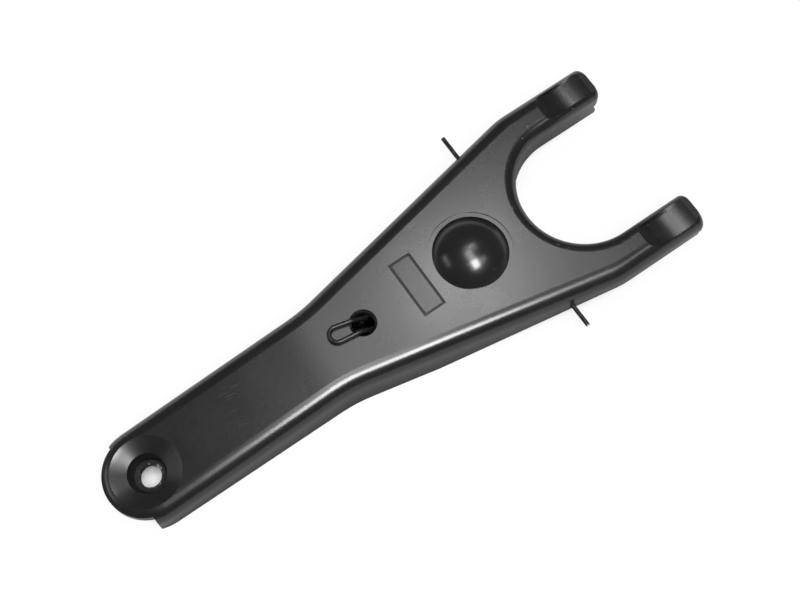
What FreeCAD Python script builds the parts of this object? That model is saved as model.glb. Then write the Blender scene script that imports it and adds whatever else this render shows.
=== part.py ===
"""Clutch release fork: one thick steel pressing and the bent wire that retains it on its ball stud.

Millimetres, +Z up, +X from the push-rod end to the prongs. The origin is the centre of the pivot ball,
on the axis of the domed seat. The fork lies with its flanges down.
"""
import FreeCAD, Part
import Sketcher
import math
import os

doc = FreeCAD.newDocument("clutch_fork")
sheet = doc.addObject("Spreadsheet::Sheet", "Sizes")

SIZES = [
    ("sheet_thickness", 3.2, "thickness of the pressed steel"),
    ("ball_below_top", 9.5, "from the flat top down to the centre of the pivot ball"),
    ("arm_half_width", 20.0, "half the width of the straight arm"),
    ("knee_station", -70.0, "where the straight arm starts to widen"),
    ("shoulder_station", 44.0, "where the fork stops widening"),
    ("fork_half_width", 43.5, "half the width over the prongs"),
    ("knee_radius", 70.0, "outer radius of the outline at the knee"),
    ("shoulder_radius", 34.0, "outer radius of the outline at the shoulder"),
    ("tip_station", 86.0, "outer face of the prongs' end plates"),
    ("throat_station", 56.0, "centre of the round end of the fork's opening"),
    ("throat_radius", 27.0, "radius of the opening, and half its width"),
    ("bend_radius", 7.0, "outer radius of the bend into the side flanges"),
    ("throat_bend_radius", 5.0, "outer radius of the bend into the opening's flange"),
    ("tip_edge_radius", 2.6, "rounding of the end plates' outer edges"),
    ("droop_station", -66.0, "where the arm's top starts to slope down"),
    ("droop_angle", 4.9, "slope of the arm's top, in degrees"),
    ("droop_radius", 190.0, "radius of the gentle bend at the start of the slope"),
    ("arm_depth", 21.2, "from the fork's top plane down to the arm's flange edges"),
    ("fork_depth", 10.2, "from the top plane down to the outer flange edges of the prongs"),
    ("throat_flange_depth", 16.2, "from the top plane down to the edge of the opening's flange"),
    ("end_plate_depth", 8.2, "from the top plane down to the edge of the prongs' end plates"),
    ("notch_depth", 3.0, "relief notch between end plate and opening flange, along the prong"),
    ("notch_height", 6.0, "height of the relief notch at its mouth"),
    ("flange_setback", 1.6, "how far the opening flange's end lies behind the end plate"),
    ("rise_start", -34.0, "where the flange edge starts to rise towards the fork"),
    ("rise_end", 42.0, "where the flange edge has risen to the prongs' depth"),
    ("push_station", -153.9, "centre of the push-rod hole"),
    ("push_hole_radius", 4.55, "push-rod hole"),
    ("flange_end", -160.6, "where the arm's side flanges are cut off"),
    ("lobe_radius", 17.6, "outer radius of the lobe round the push-rod hole"),
    ("lip_depth", 13.2, "from the fork's top plane down to the edge of the lobe's lip"),
    ("dish_radius", 14.6, "outer radius of the dish round the push-rod cup"),
    ("dish_depth", 2.6, "depth of the dish where the cup starts"),
    ("cup_radius", 8.0, "radius of the push-rod cup at its edge"),
    ("cup_depth", 8.2, "depth of the cup's floor under the arm's top"),
    ("cup_floor_radius", 6.4, "radius of the cup's floor"),
    ("seat_radius", 15.5, "radius of the pivot dome at its foot"),
    ("seat_height", 7.6, "height of the pivot dome"),
    ("ring_width", 2.0, "width of the coined ring round the dome"),
    ("ring_depth", 0.45, "depth of the coined ring"),
    ("panel_station", -25.4, "middle of the recessed panel"),
    ("panel_shift", 1.2, "offset of the panel to the left of the axis"),
    ("panel_length", 10.2, "panel along the arm"),
    ("panel_width", 26.0, "panel across the arm"),
    ("panel_corner", 2.2, "corner radius of the panel"),
    ("panel_groove", 1.0, "width of the panel's outline groove"),
    ("panel_groove_depth", 0.55, "depth of the outline groove"),
    ("clip_hole_station", -52.0, "centre of the hole that the spring passes through"),
    ("clip_hole_radius", 4.8, "spring hole"),
    ("clip_hole_rounding", 0.9, "rounding of the spring hole's upper edge"),
    ("step_station", 60.0, "sharp step across each prong where its end is pressed down"),
    ("facet_length", 5.6, "length of the flat facet below the step"),
    ("facet_drop", 3.0, "drop of the facet"),
    ("saddle_radius", 24.0, "radius of the saddle that rises to the prong's end"),
    ("saddle_end_drop", 0.9, "how far the saddle's end lies under the top plane"),
    ("saddle_wall", 2.4, "width left standing at each side of the saddle"),
    ("pin_station", 22.5, "station of the spring's two ends"),
    ("pin_drop", 9.6, "from the top plane down to the spring's ends"),
    ("wire_diameter", 1.8, "spring wire"),
    ("pin_clearance", 0.3, "clearance round the wire in the cross holes"),
    ("left_reach", 12.3, "how far the left end stands out of its flange"),
    ("right_reach", 10.4, "how far the right end stands out of its flange"),
    ("wire_rest_gap", 0.2, "gap between the wire and the sheet it lies on"),
    ("hairpin_station", -67.2, "outer end of the spring's hairpin loop"),
    ("hairpin_half_width", 3.5, "half the distance between the loop's legs"),
    ("hairpin_lean", 2.2, "how far the loop leans to the left"),
    ("leg_half_width_at_hole", 2.8, "half the distance between the legs in the hole"),
    ("leg_half_width_at_ball", 7.4, "half the distance between the legs beside the ball's neck"),
    ("leg_level_start", -17.0, "where the legs reach their level beside the ball"),
    ("wire_bend_radius", 3.0, "centreline radius of the spring's bends"),
]

for row, (alias, value, note) in enumerate(SIZES, start=1):
    sheet.set("A%d" % row, note)
    sheet.set("B%d" % row, repr(value))
    sheet.setAlias("B%d" % row, alias)
doc.recompute()


def number(alias):
    """The value of one named size."""
    return float(getattr(sheet, alias))


def bind(target, prop, expression):
    """Drive one property from the sheet; sizes are written as <<name>> in the expression."""
    target.setExpression(prop, expression.replace("<<", "Sizes.").replace(">>", ""))


def new_body(name):
    """A PartDesign body whose Label is its name."""
    made = doc.addObject("PartDesign::Body", name)
    made.Label = name
    return made


def origin_plane(body, role):
    """One of the body's own origin planes."""
    for feature in body.Origin.OriginFeatures:
        if feature.Role == role:
            return feature
    raise ValueError(role)


def new_sketch(body, name, role):
    """An empty sketch on one of the body's origin planes."""
    sketch = body.newObject("Sketcher::SketchObject", name)
    sketch.AttachmentSupport = [(origin_plane(body, role), "")]
    sketch.MapMode = "FlatFace"
    return sketch


def measure(expression):
    """The present value of an expression of named sizes."""
    found = sheet.evalExpression(expression.replace("<<", "Sizes.").replace(">>", ""))
    return float(getattr(found, "Value", found))


def pin_point(sketch, geometry, end, across, up):
    """Fix one point of a sketch at two expressions, measured from the sketch's origin."""
    for kind, axis, expression in (("DistanceX", -2, across), ("DistanceY", -1, up)):
        if expression == "0":
            sketch.addConstraint(Sketcher.Constraint("PointOnObject", geometry, end, axis))
        else:
            now = measure(expression)
            index = sketch.addConstraint(Sketcher.Constraint(kind, -1, 1, geometry, end, now))
            bind(sketch, "Constraints[%d]" % index, expression)


def arc_centre(start, stop, radius):
    """The centre of the short anticlockwise arc between two points: it lies left of the chord."""
    chord = stop.sub(start)
    rise = math.sqrt(max(radius ** 2 - (chord.Length / 2) ** 2, 0.0))
    left = FreeCAD.Vector(-chord.y, chord.x, 0)
    left.normalize()
    return start.add(chord.multiply(0.5)).add(left.multiply(rise))


def polygon(sketch, corners, arcs=None):
    """A closed outline whose corners are pairs of expressions.

    Sides named in arcs, by the index of their first corner, are short anticlockwise arcs.
    """
    arcs = arcs or {}
    count = len(corners)
    first = sketch.GeometryCount
    ring = [FreeCAD.Vector(measure(across), measure(up), 0) for across, up in corners]
    for index in range(count):
        start = FreeCAD.Vector(ring[index])
        stop = FreeCAD.Vector(ring[(index + 1) % count])
        if index in arcs:
            radius = measure(arcs[index])
            centre = arc_centre(start, FreeCAD.Vector(stop), radius)
            first_angle = math.atan2(start.y - centre.y, start.x - centre.x)
            last_angle = math.atan2(stop.y - centre.y, stop.x - centre.x)
            guess = Part.Circle(centre, FreeCAD.Vector(0, 0, 1), radius)
            sketch.addGeometry(Part.ArcOfCircle(guess, first_angle, last_angle), False)
        else:
            sketch.addGeometry(Part.LineSegment(start, stop), False)
    for index in range(count):
        following = first + (index + 1) % count
        sketch.addConstraint(Sketcher.Constraint("Coincident", first + index, 2, following, 1))
    for index, (across, up) in enumerate(corners):
        pin_point(sketch, first + index, 1, across, up)
    for index, expression in arcs.items():
        size = sketch.addConstraint(Sketcher.Constraint("Radius", first + index, measure(expression)))
        bind(sketch, "Constraints[%d]" % size, expression)
    return first


def rounded_rectangle(sketch, across, up, length, width, corner):
    """A rectangle with round corners, drawn anticlockwise from its middle's expressions."""
    right = "%s + (%s) / 2" % (across, length)
    left = "%s - (%s) / 2" % (across, length)
    high = "%s + (%s) / 2" % (up, width)
    low = "%s - (%s) / 2" % (up, width)
    corners = [
        (right + " - " + corner, high), (left + " + " + corner, high),
        (left, high + " - " + corner), (left, low + " + " + corner),
        (left + " + " + corner, low), (right + " - " + corner, low),
        (right, low + " + " + corner), (right, high + " - " + corner),
    ]
    polygon(sketch, corners, {1: corner, 3: corner, 5: corner, 7: corner})


def circle(sketch, across, up, radius):
    """A circle whose centre and radius are expressions."""
    centre = FreeCAD.Vector(measure(across), measure(up), 0)
    made = Part.Circle(centre, FreeCAD.Vector(0, 0, 1), measure(radius))
    index = sketch.addGeometry(made, False)
    pin_point(sketch, index, 3, across, up)
    size = sketch.addConstraint(Sketcher.Constraint("Radius", index, measure(radius)))
    bind(sketch, "Constraints[%d]" % size, radius)
    return index


def grow(body, kind, name, sketch, length=None, reverse=False, both=False):
    """A Pad or Pocket of one sketch; no length means through everything."""
    feature = body.newObject("PartDesign::" + kind, name)
    feature.Profile = sketch
    feature.Reversed = reverse
    if both:
        feature.SideType = "Symmetric"
    if length is None:
        feature.Type = "ThroughAll"
    else:
        feature.Type = "Length"
        bind(feature, "Length", length)
    sketch.Visibility = False
    doc.recompute()
    return feature


def turn(body, kind, name, sketch):
    """A full Revolution or Groove of one sketch about the sketch's upright axis."""
    feature = body.newObject("PartDesign::" + kind, name)
    feature.Profile = sketch
    feature.ReferenceAxis = (sketch, ["V_Axis"])
    feature.Angle = 360.0
    doc.recompute()
    return feature


def edge_names(shape, test):
    """The names of the edges that a test accepts."""
    return ["Edge%d" % (i + 1) for i, edge in enumerate(shape.Edges) if test(edge)]


def middle(edge):
    """The middle point of an edge."""
    return edge.valueAt((edge.FirstParameter + edge.LastParameter) / 2)


def round_edges(body, name, test, radius):
    """A fillet on every edge of the body's tip that a test accepts."""
    base = body.Tip
    names = edge_names(base.Shape, test)
    if not names:
        raise ValueError("no edges for " + name)
    feature = body.newObject("PartDesign::Fillet", name)
    feature.Base = (base, names)
    bind(feature, "Radius", radius)
    doc.recompute()
    return feature


def bevel_edges(body, name, test, size):
    """A chamfer on every edge of the body's tip that a test accepts."""
    base = body.Tip
    feature = body.newObject("PartDesign::Chamfer", name)
    feature.Base = (base, edge_names(base.Shape, test))
    bind(feature, "Size", size)
    doc.recompute()
    return feature


def upright_at(across, along, reach=0.05):
    """A test for the upright edge through one point of the plan, on either side of the axis."""
    def test(edge):
        box = edge.BoundBox
        flat = box.XLength < 0.01 and box.YLength < 0.01
        return flat and abs(box.XMin - across) < reach and abs(abs(box.YMin) - along) < reach
    return test


def top_rim(shape, in_throat, tip):
    """A test for the edges between the top and a wall, round the opening or round the outside."""
    def test(edge):
        faces = shape.ancestorsOfType(edge, Part.Face)
        uprights = []
        for face in faces:
            u0, u1, v0, v1 = face.ParameterRange
            uprights.append(abs(face.normalAt((u0 + u1) / 2, (v0 + v1) / 2).z))
        if len(uprights) != 2 or max(uprights) < 0.5 or min(uprights) > 0.3:
            return False
        point = middle(edge)
        if point.z < -number("arm_depth") or abs(point.x - tip) < 0.05:
            return False
        reach = number("throat_radius") + number("sheet_thickness") + 0.1
        inside = point.x > number("throat_station") - reach and abs(point.y) < reach
        return inside == in_throat
    return test


# How far the corners of the widening outline move along the arm when the outline is offset by 1.
WIDENING = "(<<fork_half_width>> - <<arm_half_width>>) / (<<shoulder_station>> - <<knee_station>>)"
CORNER_SHIFT = "tan(atan(" + WIDENING + ") / 2)"
DEEP = "60"


def channel_block(body, inset):
    """The closed outer form of the pressing, every face moved inwards by the inset."""
    arm = "<<arm_half_width>> - " + inset
    prong = "<<fork_half_width>> - " + inset
    knee = "<<knee_station>> + (%s) * %s" % (inset, CORNER_SHIFT)
    shoulder = "<<shoulder_station>> + (%s) * %s" % (inset, CORNER_SHIFT)
    tip = "<<tip_station>> - " + inset
    push = "<<push_station>>"

    plan = new_sketch(body, body.Name + "_plan", "XY_Plane")
    polygon(plan, [
        (push, arm), (knee, arm), (shoulder, prong), (tip, prong),
        (tip, "-(%s)" % prong), (shoulder, "-(%s)" % prong), (knee, "-(%s)" % arm), (push, "-(%s)" % arm),
    ])
    grow(body, "Pad", body.Name + "_block", plan, DEEP, reverse=True)
    end = new_sketch(body, body.Name + "_lever_end_plan", "XY_Plane")
    circle(end, push, "0", arm)
    grow(body, "Pad", body.Name + "_lever_end", end, DEEP, reverse=True)

    throat = "<<throat_radius>> + " + inset
    mouth = "<<tip_station>> + <<throat_radius>>"
    round_plan = new_sketch(body, body.Name + "_throat_plan", "XY_Plane")
    circle(round_plan, "<<throat_station>>", "0", throat)
    grow(body, "Pocket", body.Name + "_throat", round_plan)
    gap_plan = new_sketch(body, body.Name + "_gap_plan", "XY_Plane")
    polygon(gap_plan, [
        ("<<throat_station>>", throat), (mouth, throat),
        (mouth, "-(%s)" % throat), ("<<throat_station>>", "-(%s)" % throat),
    ])
    grow(body, "Pocket", body.Name + "_gap", gap_plan)

    shift = measure(knee) - number("knee_station")
    knees = upright_at(number("knee_station") + shift, measure(arm))
    round_edges(body, body.Name + "_knees", knees, "<<knee_radius>> + " + inset)
    shoulders = upright_at(number("shoulder_station") + shift, measure(prong))
    round_edges(body, body.Name + "_shoulders", shoulders, "<<shoulder_radius>> - (%s)" % inset)

    curve = "(<<droop_radius>> - (%s))" % inset
    foot = "<<droop_station>> - %s * sin(<<droop_angle>>)" % curve
    foot_level = "%s * cos(<<droop_angle>>) - <<droop_radius>>" % curve
    far = "<<push_station>> - 2 * <<arm_half_width>>"
    low = "%s - (%s - (%s)) * tan(<<droop_angle>>)" % (foot_level, foot, far)
    level = "0" if inset == "0" else "-(%s)" % inset
    corners = [("<<droop_station>>", level), (foot, foot_level), (far, low), (far, "20")]
    if inset == "0":
        corners.append(("<<droop_station>>", "20"))
    else:
        corners.append((mouth, "20"))
        corners.append((mouth, level))
    slope = new_sketch(body, body.Name + "_slope_profile", "XZ_Plane")
    polygon(slope, corners, {0: curve})
    grow(body, "Pocket", body.Name + "_slope", slope, "400", both=True)


def round_channel(body, inset):
    """The bends into the side flanges and into the flange round the opening."""
    tip = measure("<<tip_station>> - (%s)" % inset)
    outer_rim = top_rim(body.Tip.Shape, False, tip)
    round_edges(body, body.Name + "_side_bend", outer_rim, "<<bend_radius>> - (%s)" % inset)
    throat_rim = top_rim(body.Tip.Shape, True, tip)
    if inset == "0":
        round_edges(body, body.Name + "_throat_bend", throat_rim, "<<throat_bend_radius>>")
    else:
        bevel_edges(body, body.Name + "_throat_bend", throat_rim, "0.6 * (<<throat_bend_radius>> - %s)" % inset)


def tip_saddles(body, inset):
    """The pressed-down end of each prong: a flat facet and a saddle that rises to the end plate."""
    back = "(%s) * tan(atan(<<facet_drop>> / <<facet_length>>) / 2)" % inset
    low = "-(<<facet_drop>> + (%s))" % inset
    high = "-(<<saddle_end_drop>> + (%s))" % inset
    inner = "<<throat_radius>> + <<saddle_wall>>"
    width = "<<fork_half_width>> - <<throat_radius>> - 2 * <<saddle_wall>>"
    corners = [
        ("<<step_station>> + <<facet_length>> - " + back, low),
        ("<<tip_station>> - <<sheet_thickness>>", high),
        ("<<tip_station>> + 5", high),
        ("<<tip_station>> + 5", "15"),
        ("<<step_station>> - " + back, "15"),
        ("<<step_station>> - " + back, "0" if inset == "0" else "-(%s)" % inset),
    ]
    for side, sign in (("left", 1), ("right", -1)):
        sketch = new_sketch(body, "%s_%s_saddle_profile" % (body.Name, side), "XZ_Plane")
        bind(sketch, "AttachmentOffset.Base.z", "-(%s)" % inner if sign > 0 else inner)
        polygon(sketch, corners, {0: "<<saddle_radius>> - (%s)" % inset})
        grow(body, "Pocket", "%s_%s_saddle" % (body.Name, side), sketch, width, reverse=(sign < 0))


def seat_revolve(body, kind, name, corners, arcs=None):
    """A form turned about the pivot's axis."""
    sketch = new_sketch(body, name + "_profile", "XZ_Plane")
    polygon(sketch, corners, arcs)
    return turn(body, kind, name, sketch)


CURVE_FOOT = "(<<droop_station>> - <<droop_radius>> * sin(<<droop_angle>>))"
CURVE_FOOT_LEVEL = "(<<droop_radius>> * cos(<<droop_angle>>) - <<droop_radius>>)"
PUSH_LEVEL = CURVE_FOOT_LEVEL + " - (" + CURVE_FOOT + " - <<push_station>>) * tan(<<droop_angle>>)"


def push_revolve(body, kind, name, corners):
    """A form turned about the push rod's axis, which stands square on the sloping arm."""
    sketch = new_sketch(body, name + "_profile", "XZ_Plane")
    turned = FreeCAD.Rotation(FreeCAD.Vector(0, 0, 1), number("droop_angle"))
    sketch.AttachmentOffset = FreeCAD.Placement(FreeCAD.Vector(0, 0, 0), turned)
    bind(sketch, "AttachmentOffset.Base.x", "<<push_station>>")
    bind(sketch, "AttachmentOffset.Base.y", PUSH_LEVEL)
    bind(sketch, "AttachmentOffset.Rotation.Angle", "<<droop_angle>>")
    polygon(sketch, corners)
    return turn(body, kind, name, sketch)


def end_plate_rim(edge):
    """The outline of the prongs' flat end faces."""
    return abs(edge.BoundBox.XMin - number("tip_station")) < 0.01 and middle(edge).z > 1 - measure(DEEP)


def side_pockets(body, name, corners, start, width):
    """One profile cut out of both sides, from a distance off the axis outwards."""
    for side, sign in (("left", 1), ("right", -1)):
        sketch = new_sketch(body, "%s_%s_profile" % (name, side), "XZ_Plane")
        bind(sketch, "AttachmentOffset.Base.z", "-(%s)" % start if sign > 0 else start)
        polygon(sketch, corners)
        grow(body, "Pocket", "%s_%s" % (name, side), sketch, width, reverse=(sign < 0))


# The channel: the closed outer form less the same form one sheet thickness inside it.
body = new_body("fork_body")
channel_block(body, "0")
round_channel(body, "0")
round_edges(body, "end_plate_rounding", end_plate_rim, "<<tip_edge_radius>>")
tip_saddles(body, "0")
cavity = new_body("channel_cavity")
channel_block(cavity, "<<sheet_thickness>>")
round_channel(cavity, "<<sheet_thickness>>")
tip_saddles(cavity, "<<sheet_thickness>>")
before = body.Shape.Volume
hollow = body.newObject("PartDesign::Boolean", "channel_hollow")
hollow.Type = "Cut"
hollow.setObjects([cavity])
doc.recompute()
print("channel", round(before), "less", round(before - body.Shape.Volume), body.Shape.isValid())

# The flanges' lower edges: level along the arm, rising to the prongs, with the lobe's short lip.
edge_profile = new_sketch(body, "flange_edge_profile", "XZ_Plane")
far = "<<push_station>> - 2 * <<arm_half_width>>"
beyond = "<<tip_station>> + 10"
bottom = "-" + DEEP + " - 5"
flange_face = "<<throat_station>> - <<throat_radius>> - <<sheet_thickness>>"
rise = "(<<arm_depth>> - <<fork_depth>>) / (<<rise_end>> - <<rise_start>>)"
rise_level = "-<<arm_depth>> + (%s - <<rise_start>>) * %s" % (flange_face, rise)
polygon(edge_profile, [
    (far, bottom), (far, "-<<lip_depth>>"), ("<<flange_end>>", "-<<lip_depth>>"),
    ("<<flange_end>>", "-<<arm_depth>>"), ("<<rise_start>>", "-<<arm_depth>>"),
    (flange_face, rise_level), (flange_face, "-<<throat_flange_depth>>"),
    (beyond, "-<<throat_flange_depth>>"), (beyond, bottom),
])
grow(body, "Pocket", "flange_edges", edge_profile, "400", both=True)
middle_of_prong = "<<throat_radius>> + <<sheet_thickness>> + 3"
side_pockets(body, "outer_flange_edge", [
    (flange_face, bottom), (flange_face, rise_level), ("<<rise_end>>", "-<<fork_depth>>"),
    (beyond, "-<<fork_depth>>"), (beyond, bottom),
], middle_of_prong, "30")
side_pockets(body, "end_plate_edge", [
    ("<<tip_station>> - <<sheet_thickness>>", bottom),
    ("<<tip_station>> - <<sheet_thickness>>", "-<<end_plate_depth>>"),
    (beyond, "-<<end_plate_depth>>"), (beyond, bottom),
], "<<throat_radius>> + <<sheet_thickness>>", "30")
side_pockets(body, "relief_notch", [
    ("<<tip_station>> - <<notch_depth>>", "-<<end_plate_depth>> - <<notch_height>> / 3"),
    ("<<tip_station>> - <<flange_setback>>", "-<<end_plate_depth>> - <<notch_height>>"),
    ("<<tip_station>> - <<flange_setback>>", bottom), ("<<tip_station>> + 1", bottom),
    ("<<tip_station>> + 1", "-<<end_plate_depth>> + 1"),
], "<<throat_radius>> - 1", "<<sheet_thickness>> + 1")
print("flange edges", round(body.Shape.Volume), body.Shape.isValid(), len(body.Shape.Solids))

# The lobe beyond the flanges' ends is narrower than the arm and concentric with the push-rod hole.
lobe_plan = new_sketch(body, "lobe_plan", "XY_Plane")
chord = "sqrt(<<lobe_radius>> ^ 2 - (<<push_station>> - <<flange_end>>) ^ 2)"
side = "2 * <<arm_half_width>>"
polygon(lobe_plan, [
    ("<<flange_end>>", chord), ("<<flange_end>>", "-" + chord), ("<<flange_end>>", "-" + side),
    (far, "-" + side), (far, side), ("<<flange_end>>", side),
], {0: "<<lobe_radius>>"})
grow(body, "Pocket", "lobe", lobe_plan)

# The push-rod seat: a dish, a cup and its hole, pressed down from the arm's top.
wall = "<<sheet_thickness>>"
push_revolve(body, "Revolution", "push_cup", [
    ("0", "-%s / 2" % wall), ("<<dish_radius>> + 1", "-%s / 2" % wall), ("<<dish_radius>> + 1", "-" + wall),
    ("<<cup_radius>> + 0.8 * " + wall, "-<<dish_depth>> - " + wall),
    ("<<cup_floor_radius>> + 0.8 * " + wall, "-<<cup_depth>> - " + wall),
    ("0", "-<<cup_depth>> - " + wall),
])
push_revolve(body, "Groove", "push_dish", [
    ("0", "5"), ("0", "-<<cup_depth>>"), ("<<cup_floor_radius>>", "-<<cup_depth>>"),
    ("<<cup_radius>>", "-<<dish_depth>>"), ("<<dish_radius>>", "0"), ("<<dish_radius>>", "5"),
])
push_revolve(body, "Groove", "push_hole", [
    ("0", "0"), ("0", "-20"), ("<<push_hole_radius>>", "-20"), ("<<push_hole_radius>>", "0"),
])
print("push seat", round(body.Shape.Volume), body.Shape.isValid())

# The pivot seat: a spherical dome of even thickness, with a coined ring round its foot.
ball = "((<<seat_radius>> ^ 2 + <<seat_height>> ^ 2) / (2 * <<seat_height>>))"
seat_revolve(body, "Revolution", "pivot_dome", [
    ("<<seat_radius>>", "0"), ("0", "<<seat_height>>"), ("0", "-%s / 2" % wall),
    ("<<seat_radius>>", "-%s / 2" % wall),
], {0: ball})
inner_ball = "(%s - %s)" % (ball, wall)
inner_foot = "sqrt(%s ^ 2 - (%s - %s - <<seat_height>>) ^ 2)" % (inner_ball, ball, wall)
seat_revolve(body, "Groove", "pivot_cup", [
    (inner_foot, "-" + wall), ("0", "<<seat_height>> - " + wall), ("0", "-2 * " + wall),
    (inner_foot, "-2 * " + wall),
], {0: inner_ball})
seat_revolve(body, "Groove", "coined_ring", [
    ("<<seat_radius>>", "-<<ring_depth>>"), ("<<seat_radius>> + <<ring_width>>", "-<<ring_depth>>"),
    ("<<seat_radius>> + <<ring_width>>", "1"), ("<<seat_radius>>", "1"),
])
print("pivot seat", round(body.Shape.Volume), body.Shape.isValid())

# The recessed panel's outline.
panel = new_sketch(body, "panel_plan", "XY_Plane")
rounded_rectangle(panel, "<<panel_station>>", "<<panel_shift>>", "<<panel_length>>", "<<panel_width>>",
                  "<<panel_corner>>")
rounded_rectangle(panel, "<<panel_station>>", "<<panel_shift>>", "(<<panel_length>> - 2 * <<panel_groove>>)",
                  "(<<panel_width>> - 2 * <<panel_groove>>)", "(<<panel_corner>> - <<panel_groove>>)")
grow(body, "Pocket", "panel_groove", panel, "<<panel_groove_depth>>")

# The spring's hole in the top and the cross holes in both flanges.
clip_plan = new_sketch(body, "clip_hole_plan", "XY_Plane")
circle(clip_plan, "<<clip_hole_station>>", "0", "<<clip_hole_radius>>")
grow(body, "Pocket", "clip_hole", clip_plan, "3 * " + wall)


def clip_rim(edge):
    """The upper edge of the spring's hole."""
    box = edge.BoundBox
    wide = abs(box.XLength - 2 * number("clip_hole_radius")) < 0.05
    return wide and box.ZLength < 0.01 and abs(box.ZMin) < 0.01 and abs(middle(edge).y) < 6 and box.XMax < -40


bevel_edges(body, "clip_hole_rounding", clip_rim, "<<clip_hole_rounding>>")
cross_plan = new_sketch(body, "cross_holes_profile", "XZ_Plane")
circle(cross_plan, "<<pin_station>>", "-<<pin_drop>>", "<<wire_diameter>> / 2 + <<pin_clearance>>")
grow(body, "Pocket", "cross_holes", cross_plan, "400", both=True)
print("holes", round(body.Shape.Volume), body.Shape.isValid())



def bent_path(points, radii):
    """A wire path of straight runs joined by tangent arcs, one radius for each corner between its ends."""
    edges = []
    here = points[0]
    for corner, before, after, radius in zip(points[1:-1], points, points[2:], radii):
        back = before.sub(corner).normalize()
        onward = after.sub(corner).normalize()
        half = back.getAngle(onward) / 2
        reach = radius / math.tan(half)
        start = corner + back * reach
        stop = corner + onward * reach
        inward = (back + onward).normalize()
        through = corner + inward * (radius / math.sin(half) - radius)
        edges.append(Part.LineSegment(here, start).toShape())
        edges.append(Part.Arc(start, through, stop).toShape())
        here = stop
    edges.append(Part.LineSegment(here, points[-1]).toShape())
    return edges


# The retaining spring: a hairpin on the arm's top whose legs pass down through the hole, run along each
# side of the ball's neck and leave through the cross holes.
lift = number("wire_diameter") / 2 + number("wire_rest_gap")
under = -number("sheet_thickness") - lift
pinned = -number("pin_drop")
hole_x = number("clip_hole_station")
loop_half = number("hairpin_half_width")
loop_x = number("hairpin_station") + number("wire_diameter") / 2
lean = number("hairpin_lean")
hole_half = number("leg_half_width_at_hole")
ball_half = number("leg_half_width_at_ball")
slope = number("fork_half_width") - number("arm_half_width")
slope = slope / (number("shoulder_station") - number("knee_station"))
flank = number("arm_half_width") + slope * (number("pin_station") - number("knee_station"))


def leg_points(sign, reach):
    """The corners of one leg, from the hairpin to its end outside the flange."""
    return [
        FreeCAD.Vector(loop_x, sign * loop_half + lean, lift),
        FreeCAD.Vector(hole_x - 2.9, sign * hole_half, lift + 0.2),
        FreeCAD.Vector(hole_x + 3.1, sign * hole_half, under - 0.3),
        FreeCAD.Vector(number("leg_level_start"), sign * ball_half, pinned),
        FreeCAD.Vector(number("pin_station"), sign * ball_half, pinned),
        FreeCAD.Vector(number("pin_station"), sign * (flank + reach), pinned),
    ]


bend = number("wire_bend_radius")
loop_bend = 0.91 * loop_half
left_leg = leg_points(1, number("left_reach"))
right_leg = leg_points(-1, number("right_reach"))
corners = left_leg[::-1] + right_leg
radii = [bend] * 4 + [loop_bend] * 2 + [bend] * 4
path = doc.addObject("Part::Feature", "spring_path")
path.Shape = Part.Wire(bent_path(corners, radii))
start = path.Shape.OrderedEdges[0]
tangent = start.tangentAt(start.FirstParameter)
section = doc.addObject("Part::Circle", "spring_section")
bind(section, "Radius", "<<wire_diameter>> / 2")
section.Placement = FreeCAD.Placement(
    path.Shape.OrderedVertexes[0].Point, FreeCAD.Rotation(FreeCAD.Vector(0, 0, 1), tangent))
spring = doc.addObject("Part::Sweep", "retaining_spring")
spring.Label = "retaining_spring"
spring.Sections = [section]
spring.Spine = (path, ["Edge%d" % (i + 1) for i in range(len(path.Shape.Edges))])
spring.Solid = True
spring.Frenet = False
doc.recompute()
length = path.Shape.Length
print("spring", round(spring.Shape.Volume, 1), "from its length",
      round(length * math.pi * number("wire_diameter") ** 2 / 4, 1), spring.Shape.isValid(),
      len(spring.Shape.Solids))


# The flat top lies at zero up to here; the finished pieces are raised, so that the origin is the ball's centre.
for part in (body, spring):
    bind(part, "Placement.Base.z", "<<ball_below_top>>")
doc.recompute()

bad = []
for item in doc.Objects:
    if "Invalid" in item.State or "Error" in item.State:
        bad.append("%s %s" % (item.Name, item.State))
for part in (body, spring):
    if part.Shape.isNull() or not part.Shape.isValid() or len(part.Shape.Solids) != 1:
        bad.append(part.Label)
if bad:
    raise RuntimeError("not written: " + "; ".join(bad))

os.makedirs("parts", exist_ok=True)
for part in (body, spring):
    part.Shape.exportStep("parts/" + part.Label + ".step")
    box = part.Shape.BoundBox
    print(part.Label, round(part.Shape.Volume), [round(v, 2) for v in (
        box.XMin, box.XMax, box.YMin, box.YMax, box.ZMin, box.ZMax)])
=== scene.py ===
# %% [markdown]
# A clutch fork is a lever pressed from thick steel sheet. It rocks on a ball under its round seat, a rod pushes its
# narrow end, and its two prongs press on the release bearing. The solid shapes already exist as a imported CAD model,
# so this lesson loads them as a fixed frame and spends its effort on the finish: gloss black enamel over steel, and
# the dark wire spring that keeps the fork on its ball.

# %% Load the solids
import math

import bpy
from mathutils import Matrix, Vector


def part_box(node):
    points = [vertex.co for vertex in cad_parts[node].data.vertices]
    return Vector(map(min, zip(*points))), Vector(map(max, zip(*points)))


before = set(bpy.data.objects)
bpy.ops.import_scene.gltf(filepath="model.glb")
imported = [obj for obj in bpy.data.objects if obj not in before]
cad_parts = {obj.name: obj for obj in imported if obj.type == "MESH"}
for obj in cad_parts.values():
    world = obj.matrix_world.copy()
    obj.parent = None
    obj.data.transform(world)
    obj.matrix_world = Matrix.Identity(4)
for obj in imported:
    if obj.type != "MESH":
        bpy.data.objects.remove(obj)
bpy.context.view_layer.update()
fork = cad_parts["fork_body"]
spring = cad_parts["retaining_spring"]
floor_height = min(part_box("fork_body")[0][2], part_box("retaining_spring")[0][2])

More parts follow.
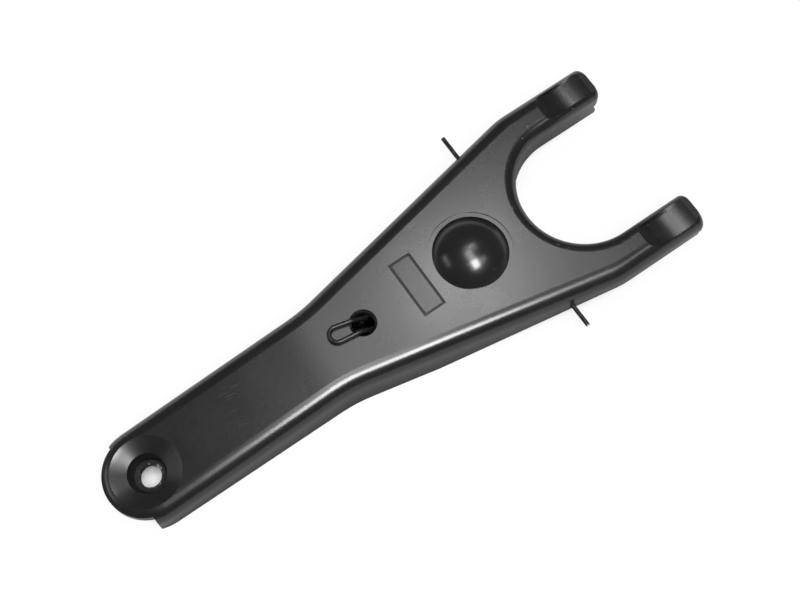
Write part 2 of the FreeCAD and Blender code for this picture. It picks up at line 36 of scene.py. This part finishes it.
# %% [markdown]
# A finish is a small program made of nodes. Written as plain arithmetic it is far easier to read than as a list of
# links, so one class wraps a socket and turns + - * / into Math nodes. A material class holds the single method that
# makes every other node: its type first, then its settings, then the values or links of its sockets.

# %% Arithmetic on sockets
class Wire:
    """One output of a node; arithmetic on it adds Math nodes."""

    def __init__(self, finish, socket):
        self.finish = finish
        self.socket = socket

    def math(self, operation, first, second):
        return self.finish.node("ShaderNodeMath", {"operation": operation}, {0: first, 1: second})

    def __add__(self, other):
        return self.math("ADD", self, other)

    def __radd__(self, other):
        return self.math("ADD", other, self)

    def __sub__(self, other):
        return self.math("SUBTRACT", self, other)

    def __rsub__(self, other):
        return self.math("SUBTRACT", other, self)

    def __mul__(self, other):
        return self.math("MULTIPLY", self, other)

    def __rmul__(self, other):
        return self.math("MULTIPLY", other, self)

    def __pow__(self, other):
        return self.math("POWER", self, other)

    def __abs__(self):
        return self.math("ABSOLUTE", self, 0.0)


class Finish:
    """A material, or the world, whose nodes are made by one method."""

    def __init__(self, name, owner=None):
        self.owner = owner or bpy.data.materials.new(name)
        self.owner.use_nodes = True
        self.tree = self.owner.node_tree
        self.tree.nodes.clear()

    def node(self, kind, settings=None, sockets=None, output=0):
        made = self.tree.nodes.new(kind)
        for name, value in (settings or {}).items():
            setattr(made, name, value)
        for place, value in (sockets or {}).items():
            if isinstance(value, Wire):
                self.tree.links.new(value.socket, made.inputs[place])
            else:
                made.inputs[place].default_value = value
        return Wire(self, made.outputs[output]) if made.outputs else made

    def place(self):
        return self.node("ShaderNodeTexCoord", output="Object")

    def axes(self, vector):
        split = self.node("ShaderNodeSeparateXYZ", None, {0: vector})
        outputs = split.socket.node.outputs
        return [Wire(self, outputs[i]) for i in range(3)]

    def stretch(self, vector, factors):
        return self.node("ShaderNodeVectorMath", {"operation": "MULTIPLY"}, {0: vector, 1: factors})

    def turned(self, vector, degrees):
        angle = math.radians(degrees)
        return self.node("ShaderNodeVectorRotate", {"rotation_type": "Z_AXIS"}, {"Vector": vector, "Angle": angle})

    def noise(self, vector, scale, detail=2.0, roughness=0.5):
        sockets = {"Vector": vector, "Scale": scale, "Detail": detail, "Roughness": roughness}
        return self.node("ShaderNodeTexNoise", None, sockets)

    def step(self, value, low, high):
        """0 below low, 1 above high, and smooth between them."""
        sockets = {"Value": value, "From Min": low, "From Max": high}
        return self.node("ShaderNodeMapRange", {"interpolation_type": "SMOOTHSTEP"}, sockets)

    def blend(self, factor, under, over):
        """Mixes two colours."""
        sockets = {0: factor, 6: under, 7: over}
        return self.node("ShaderNodeMix", {"data_type": "RGBA"}, sockets, output=2)

    def bump(self, height, distance, strength=1.0, under=None):
        sockets = {"Height": height, "Distance": distance, "Strength": strength}
        if under is not None:
            sockets["Normal"] = under
        return self.node("ShaderNodeBump", None, sockets)

    def show(self, shader):
        self.node("ShaderNodeOutputMaterial", None, {"Surface": shader})
        return self.owner


print("socket arithmetic ready")

# %% [markdown]
# The fork is dipped in black enamel and baked. Up close such a coat is never even: it settles in faint orange peel,
# dust dries into it, and the cloudy film changes its sheen from place to place. The peel is a bump a couple of
# millimetres across and a few microns high, and the cloudiness goes into the roughness, which the eye reads first on
# a black surface. Everything is placed in the part's own metres, so the scale of each detail is the real one.

# %% Enamel: film, peel and dust
enamel = Finish("black_enamel")
at = enamel.place()
along, across, up = enamel.axes(at)
facing = enamel.node("ShaderNodeNewGeometry", output="Normal")
lean_up = enamel.axes(facing)[2]
top_face = enamel.step(lean_up, 0.80, 0.97)

cloud = enamel.noise(at, 38.0, 4.0, 0.6)
peel = enamel.noise(at, 430.0, 1.5)
grain = enamel.noise(at, 2600.0, 2.0)
dust_cells = enamel.node("ShaderNodeTexVoronoi", {"feature": "F1"}, {"Vector": at, "Scale": 300.0})
dust_pick = enamel.step(enamel.noise(at, 120.0, 2.0), 0.56, 0.64)
dust = (1 - enamel.step(dust_cells, 0.05, 0.13)) * dust_pick
print("enamel film:", len(enamel.tree.nodes), "nodes so far")

# %% [markdown]
# A fork is handled, stacked and slid into boxes, and that leaves fine scratches that run mostly along the arm, and a
# few that cross it. Each set is noise squeezed hard in one direction, cut to its thin crests and kept in a few
# patches, because real rubbing is never spread evenly. They dull the gloss and turn it grey, but don't reach steel.

# %% Enamel: scratches and scuffs
def scratch_set(finish, place, degrees, length, width, low, high, patch_scale, patch_low):
    squeezed = finish.stretch(finish.turned(place, degrees), (1 / length, 1 / width, 1 / length))
    crests = finish.step(finish.noise(squeezed, 1.0, 2.0, 0.55), low, high)
    patches = finish.step(finish.noise(place, patch_scale, 2.0), patch_low, patch_low + 0.12)
    return crests * patches


long_scratches = scratch_set(enamel, at, 9.0, 0.020, 0.0006, 0.68, 0.74, 22.0, 0.52)
cross_scratches = scratch_set(enamel, at, 58.0, 0.010, 0.0005, 0.69, 0.74, 30.0, 0.55)
scuffs = enamel.step(enamel.noise(enamel.stretch(at, (1.0, 2.6, 1.0)), 75.0, 6.0, 0.7), 0.63, 0.74)
marks = long_scratches + cross_scratches
marks_on_top = marks * (0.25 + 0.75 * top_face)
print("scratches run along the arm and across it")

# %% [markdown]
# Where other parts touch the fork the enamel is gone and the bare steel shines: a thin broken ring round the hole of
# the push rod, a few chips on the rim of the big opening and round the seat, and nicks on the raw lower edges of the
# flanges. These places are known sizes, so each mask is a distance from them, broken up by noise.

# %% Enamel: bare steel where parts touch
def ring_at(finish, first, second, radius, half_width):
    """1 on a circle round the place where both distances are 0, falling to 0 at half_width from it."""
    reach = (first * first + second * second) ** 0.5
    return 1 - finish.step(abs(reach - radius), half_width * 0.5, half_width)


push_hole = 0.00455
rod_station = -0.153063
opening_station = 0.056
opening_rim_radius = 0.0315
seat_rim_radius = 0.0170
broken = enamel.noise(at, 700.0, 3.0, 0.65)
rod_ring = ring_at(enamel, along - rod_station, across, push_hole, 0.0009) * enamel.step(broken, 0.58, 0.66)
upper = enamel.step(up, 0.0040, 0.0055)
opening_rim = ring_at(enamel, along - opening_station, across, opening_rim_radius, 0.0016)
opening_rim = opening_rim * enamel.step(broken, 0.69, 0.73) * upper
seat_rim = ring_at(enamel, along, across, seat_rim_radius, 0.0010) * enamel.step(broken, 0.71, 0.75)
low_edge = (1 - enamel.step(up, floor_height + 0.0002, floor_height + 0.0007)) * enamel.step(broken, 0.57, 0.62)
from_rod = along - rod_station
rod_reach = (from_rod * from_rod + across * across) ** 0.5
cup_soot = 1 - enamel.step(rod_reach, 0.0120, 0.0165)
bare_steel = enamel.node("ShaderNodeClamp", None, {0: rod_ring + opening_rim + seat_rim + low_edge})
print("bare steel round a hole of", push_hole * 2000, "mm")

# %% [markdown]
# Between the hole and the seat the die presses a small framed panel. Its floor is left with the coarse grain of the
# die, so it scatters light where the rest is smooth, and dirt and thick paint settle in the groove round it. The
# groove is in the solid already. The grain is too fine for that, so it is a bump kept inside the frame.

# %% Enamel: the pressed panel
panel_centre = (-0.0254, 0.0012)
panel_half = (0.0041, 0.0120)
groove_width = 0.0010
soft_edge = 0.0002


def inside_panel(extra):
    """1 inside the panel made larger by extra on every side."""
    inside = top_face
    for axis, middle, half_size in zip((along, across), panel_centre, panel_half):
        reach = half_size + extra
        inside = inside * (1 - enamel.step(abs(axis - middle), reach - soft_edge, reach + soft_edge))
    return inside


panel_floor = inside_panel(0.0)
panel_groove = inside_panel(groove_width) * (1 - panel_floor)
die_grain = enamel.noise(at, 850.0, 3.0, 0.6)
print("panel of", [round(2000 * h, 1) for h in panel_half], "mm")

# %% [markdown]
# The layers come together on one shader. The black itself is almost no colour at all, so a trace of warm and cool is
# mixed in by the cloudiness, grey for dust and marks, and steel last. A clear coat on top gives the sharp reflection
# of enamel, over a softer one from the film below it.

# %% Enamel: put together
black = enamel.blend(cloud, (0.0070, 0.0078, 0.0074, 1), (0.0125, 0.0130, 0.0120, 1))
dusty = enamel.blend(dust * 0.5, black, (0.10, 0.10, 0.095, 1))
rubbed = enamel.blend(marks_on_top * 0.35, dusty, (0.085, 0.085, 0.082, 1))
hazy = enamel.blend(scuffs * top_face * 0.18, rubbed, (0.060, 0.060, 0.058, 1))
coloured = enamel.blend(bare_steel, hazy, (0.42, 0.41, 0.39, 1))
dulled = 0.27 + 0.05 * cup_soot + 0.16 * (cloud - 0.5) + 0.10 * scuffs + 0.20 * marks_on_top + 0.10 * bare_steel
dulled = dulled + 0.10 * panel_floor + 0.22 * panel_groove
surface = enamel.bump(peel, 0.000020)
surface = enamel.bump(grain, 0.000003, under=surface)
surface = enamel.bump(die_grain * panel_floor, 0.00016, under=surface)
surface = enamel.bump(1 - bare_steel, 0.00006, under=surface)
enamel_shader = enamel.node(
    "ShaderNodeBsdfPrincipled",
    None,
    {
        "Base Color": coloured,
        "Metallic": bare_steel,
        "Roughness": dulled,
        "IOR": 1.5,
        "Coat Weight": 0.55 * (1 - bare_steel) * (1 - cup_soot) * (1 - panel_groove),
        "Coat Roughness": 0.17,
        "Coat IOR": 1.5,
        "Normal": surface,
    },
)
black_enamel = enamel.show(enamel_shader)
print("black enamel:", len(enamel.tree.nodes), "nodes")

# %% [markdown]
# The spring is a single length of hard-drawn wire with a thin dark oxide, as it leaves the coiler. The oxide is
# patchy and a little brown, the die leaves fine lines, and only the two cropped ends show bright metal. The legs lie
# across the fork, so the ends are found by how far they stand out to each side.

# %% Spring wire
wire = Finish("spring_wire")
spot = wire.place()
wire_y = wire.axes(spot)[1]
oxide = wire.noise(spot, 260.0, 4.0, 0.6)
die_lines = wire.noise(wire.stretch(spot, (1.0, 0.12, 1.0)), 3200.0, 2.0)
low_y, high_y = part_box("retaining_spring")[0][1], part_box("retaining_spring")[1][1]
cut_from, cut_to = 0.00025, 0.0001
cropped_high = wire.step(wire_y, high_y - cut_from, high_y - cut_to)
cropped_low = 1 - wire.step(wire_y, low_y + cut_to, low_y + cut_from)
cropped = cropped_high + cropped_low
rubbed_wire = wire.step(wire.noise(spot, 900.0, 2.0), 0.60, 0.68)
oxide_colour = wire.blend(wire.step(oxide, 0.40, 0.65), (0.010, 0.010, 0.010, 1), (0.024, 0.021, 0.019, 1))
worn_colour = wire.blend(rubbed_wire * 0.35, oxide_colour, (0.12, 0.115, 0.11, 1))
wire_colour = wire.blend(cropped, worn_colour, (0.45, 0.44, 0.42, 1))
wire_normal = wire.bump(die_lines, 0.000008)
wire_shader = wire.node(
    "ShaderNodeBsdfPrincipled",
    None,
    {
        "Base Color": wire_colour,
        "Metallic": 0.30,
        "Roughness": 0.30 + 0.22 * (oxide - 0.5) - 0.08 * rubbed_wire,
        "Normal": wire_normal,
    },
)
spring_wire = wire.show(wire_shader)


def dress(piece, material):
    if not piece.material_slots:
        piece.data.materials.append(material)
    for place in piece.material_slots:
        place.material = material
    print(piece.name, "wears", material.name, "on", len(piece.data.polygons), "faces")


dress(fork, black_enamel)
dress(spring, spring_wire)

# %% [markdown]
# The fork lies on a white table. The camera, and any shiny surface, should see the table and the room behind it as
# white, while the light that falls on the fork stays gentle, so the white is added only for those rays. Part of the
# table's colour still comes from real light, and a painted shadow darkens the white and the paper where ambient
# occlusion finds the fork closing over the table: it paints the soft shadow round the fork and the dark inside its
# hollow, for the camera and in reflections too. Seen from below, the table lets the view through.

# %% Table and white room
def seen_directly(finish):
    path = finish.node("ShaderNodeLightPath").socket.node.outputs
    rays = ("Is Camera Ray", "Is Glossy Ray", "Is Transmission Ray")
    camera, glossy, through = [Wire(finish, path[ray]) for ray in rays]
    return finish.node("ShaderNodeClamp", None, {0: camera + glossy + through})


table_finish = Finish("white_table")
# Painted shadow: the table's white fades where ambient occlusion finds the fork close above it, for the camera and in
# reflections.
near_fork = table_finish.node("ShaderNodeAmbientOcclusion", {"samples": 8}, {"Distance": 0.10}, output=1)
clear_of_painted_shadow = table_finish.step(near_fork, 0.12, 0.36)
reflection_clear_of_painted_shadow = table_finish.step(near_fork, 0.38, 0.98)
by_eye = table_finish.node("ShaderNodeLightPath", output="Is Camera Ray")
white_with_painted_shadow = clear_of_painted_shadow * by_eye + 0.6 * reflection_clear_of_painted_shadow * (1 - by_eye)
table_light = table_finish.node("ShaderNodeEmission", None, {"Color": (1, 1, 1, 1), "Strength": white_with_painted_shadow})
# Painted shadow: for the camera the paper colour turns near black where the fork covers the table.
paper_with_painted_shadow = table_finish.blend(1 - by_eye * (1 - clear_of_painted_shadow), (0.02, 0.02, 0.02, 1), (0.86, 0.86, 0.86, 1))
table_paper = table_finish.node("ShaderNodeBsdfDiffuse", None, {"Color": paper_with_painted_shadow})
table_factor = seen_directly(table_finish) * 0.90
table_front = table_finish.node("ShaderNodeMixShader", None, {0: table_factor, 1: table_paper, 2: table_light})
from_below = table_finish.node("ShaderNodeNewGeometry", output="Backfacing")
nothing = table_finish.node("ShaderNodeBsdfTransparent")
white_table = table_finish.show(
    table_finish.node("ShaderNodeMixShader", None, {0: from_below, 1: table_front, 2: nothing})
)


def sheet_of(name, corners, material):
    mesh = bpy.data.meshes.new(name)
    mesh.from_pydata([Vector(c) for c in corners], [], [(0, 1, 2, 3)])
    mesh.materials.append(material)
    made = bpy.data.objects.new(name, mesh)
    bpy.context.scene.collection.objects.link(made)
    return made


table_half = 3.0
table_corners = [(table_half * x, table_half * y) for x, y in ((-1, -1), (1, -1), (1, 1), (-1, 1))]
sheet_of("table", [(x, y, floor_height) for x, y in table_corners], white_table)

room = Finish("white_room", bpy.data.worlds.new("white_room"))
bpy.context.scene.world = room.owner
gentle = 0.45
room_strength = gentle + (1 - gentle) * seen_directly(room)
background = room.node("ShaderNodeBackground", None, {"Color": (1, 1, 1, 1), "Strength": room_strength})
room.node("ShaderNodeOutputWorld", None, {"Surface": background})
print("table at", round(floor_height * 1000, 2), "mm")

# %% [markdown]
# A black gloss surface has no look of its own: it shows what stands round it. Wide soft boxes overhead give the broad
# grey sheen of the flat top, a brighter one to the side gives the bright line on the rounded bend, and dark cards
# round the table, seen only in reflections, give the deep black between them. That is how glossy parts are lit.

# %% Lamps and dark cards
def soft_box(name, centre, aim, size, radiance, long_axis=(1, 0, 0)):
    lamp = bpy.data.lights.new(name, "AREA")
    lamp.shape = "RECTANGLE"
    lamp.size, lamp.size_y = size
    lamp.energy = radiance * math.pi * size[0] * size[1]
    holder = bpy.data.objects.new(name, lamp)
    bpy.context.scene.collection.objects.link(holder)
    back = (Vector(centre) - Vector(aim)).normalized()
    side = (Vector(long_axis) - back * back.dot(Vector(long_axis))).normalized()
    turn = Matrix((side, back.cross(side), back)).transposed().to_4x4()
    holder.matrix_world = Matrix.Translation(centre) @ turn
    holder.visible_camera = False
    print(name, "lights with", round(lamp.energy, 2), "W")


soft_box("overhead_box", (0.14, 0.17, 0.80), (0.02, 0.0, 0.0), (0.38, 0.28), 1.75)
soft_box("seat_box", (0.17, 0.22, 0.78), (0.0, 0.0, 0.0), (0.11, 0.10), 8.5)
soft_box("arm_box", (-0.07, 0.18, 0.80), (-0.08, 0.0, 0.0), (0.22, 0.22), 0.7)
soft_box("bend_strip", (-0.05, -0.38, 0.80), (-0.08, 0.0, 0.0), (0.26, 0.30), 21.0)
soft_box("edge_box", (-0.05, -0.04, 0.80), (-0.08, 0.0, 0.0), (0.24, 0.34), 5.0)
soft_box("far_strip", (0.25, -0.40, 0.80), (0.0, 0.0, 0.0), (0.30, 0.20), 2.5)
soft_box("left_card", (-0.55, 0.28, 0.36), (-0.16, 0.0, 0.0), (0.34, 0.10), 2.0, (0, 1, 0))

card_finish = Finish("dark_card")
dark_card = card_finish.show(card_finish.node("ShaderNodeBsdfDiffuse", None, {"Color": (0.10, 0.10, 0.10, 1)}))
reach, foot, roof = 1.1, 0.05, 1.0
corners = [(-reach, -reach), (reach, -reach), (reach, reach), (-reach, reach)]
cards = [sheet_of("roof_card", [(x, y, roof) for x, y in corners], dark_card)]
for i, name in enumerate(("front_card", "right_card", "back_card", "left_dark_card")):
    (ax, ay), (bx, by) = corners[i], corners[(i + 1) % 4]
    cards.append(sheet_of(name, [(ax, ay, foot), (bx, by, foot), (bx, by, roof), (ax, ay, roof)], dark_card))
for card in cards:
    card.visible_camera = False
    card.visible_shadow = False
    card.visible_diffuse = False
print(len(cards), "dark cards")

# %% [markdown]
# The camera looks down on the fork from the push-rod side, close enough that the lever end looks a little larger than
# the prongs. Its place and its own right-hand and upward directions are written as numbers, because a view from a
# known place is easier to repeat than one that chases a target.

# %% Camera
eye = bpy.data.cameras.new("eye")
eye.lens = 67.5
eye.sensor_width = 36.0
eye_holder = bpy.data.objects.new("eye", eye)
bpy.context.scene.collection.objects.link(eye_holder)
to_right = Vector((0.8231934, -0.5673246, -0.0222592))
to_up = Vector((0.5402331, 0.7706189, 0.3380750))
to_eye = to_right.cross(to_up)
eye_turn = Matrix((to_right, to_up, to_eye)).transposed().to_4x4()
eye_holder.matrix_world = Matrix.Translation((-0.1381848, -0.1726106, 0.5673526)) @ eye_turn
bpy.context.scene.camera = eye_holder
bpy.context.scene.view_settings.view_transform = "Standard"
print("camera", round(eye_holder.location.length, 3), "m from the seat")
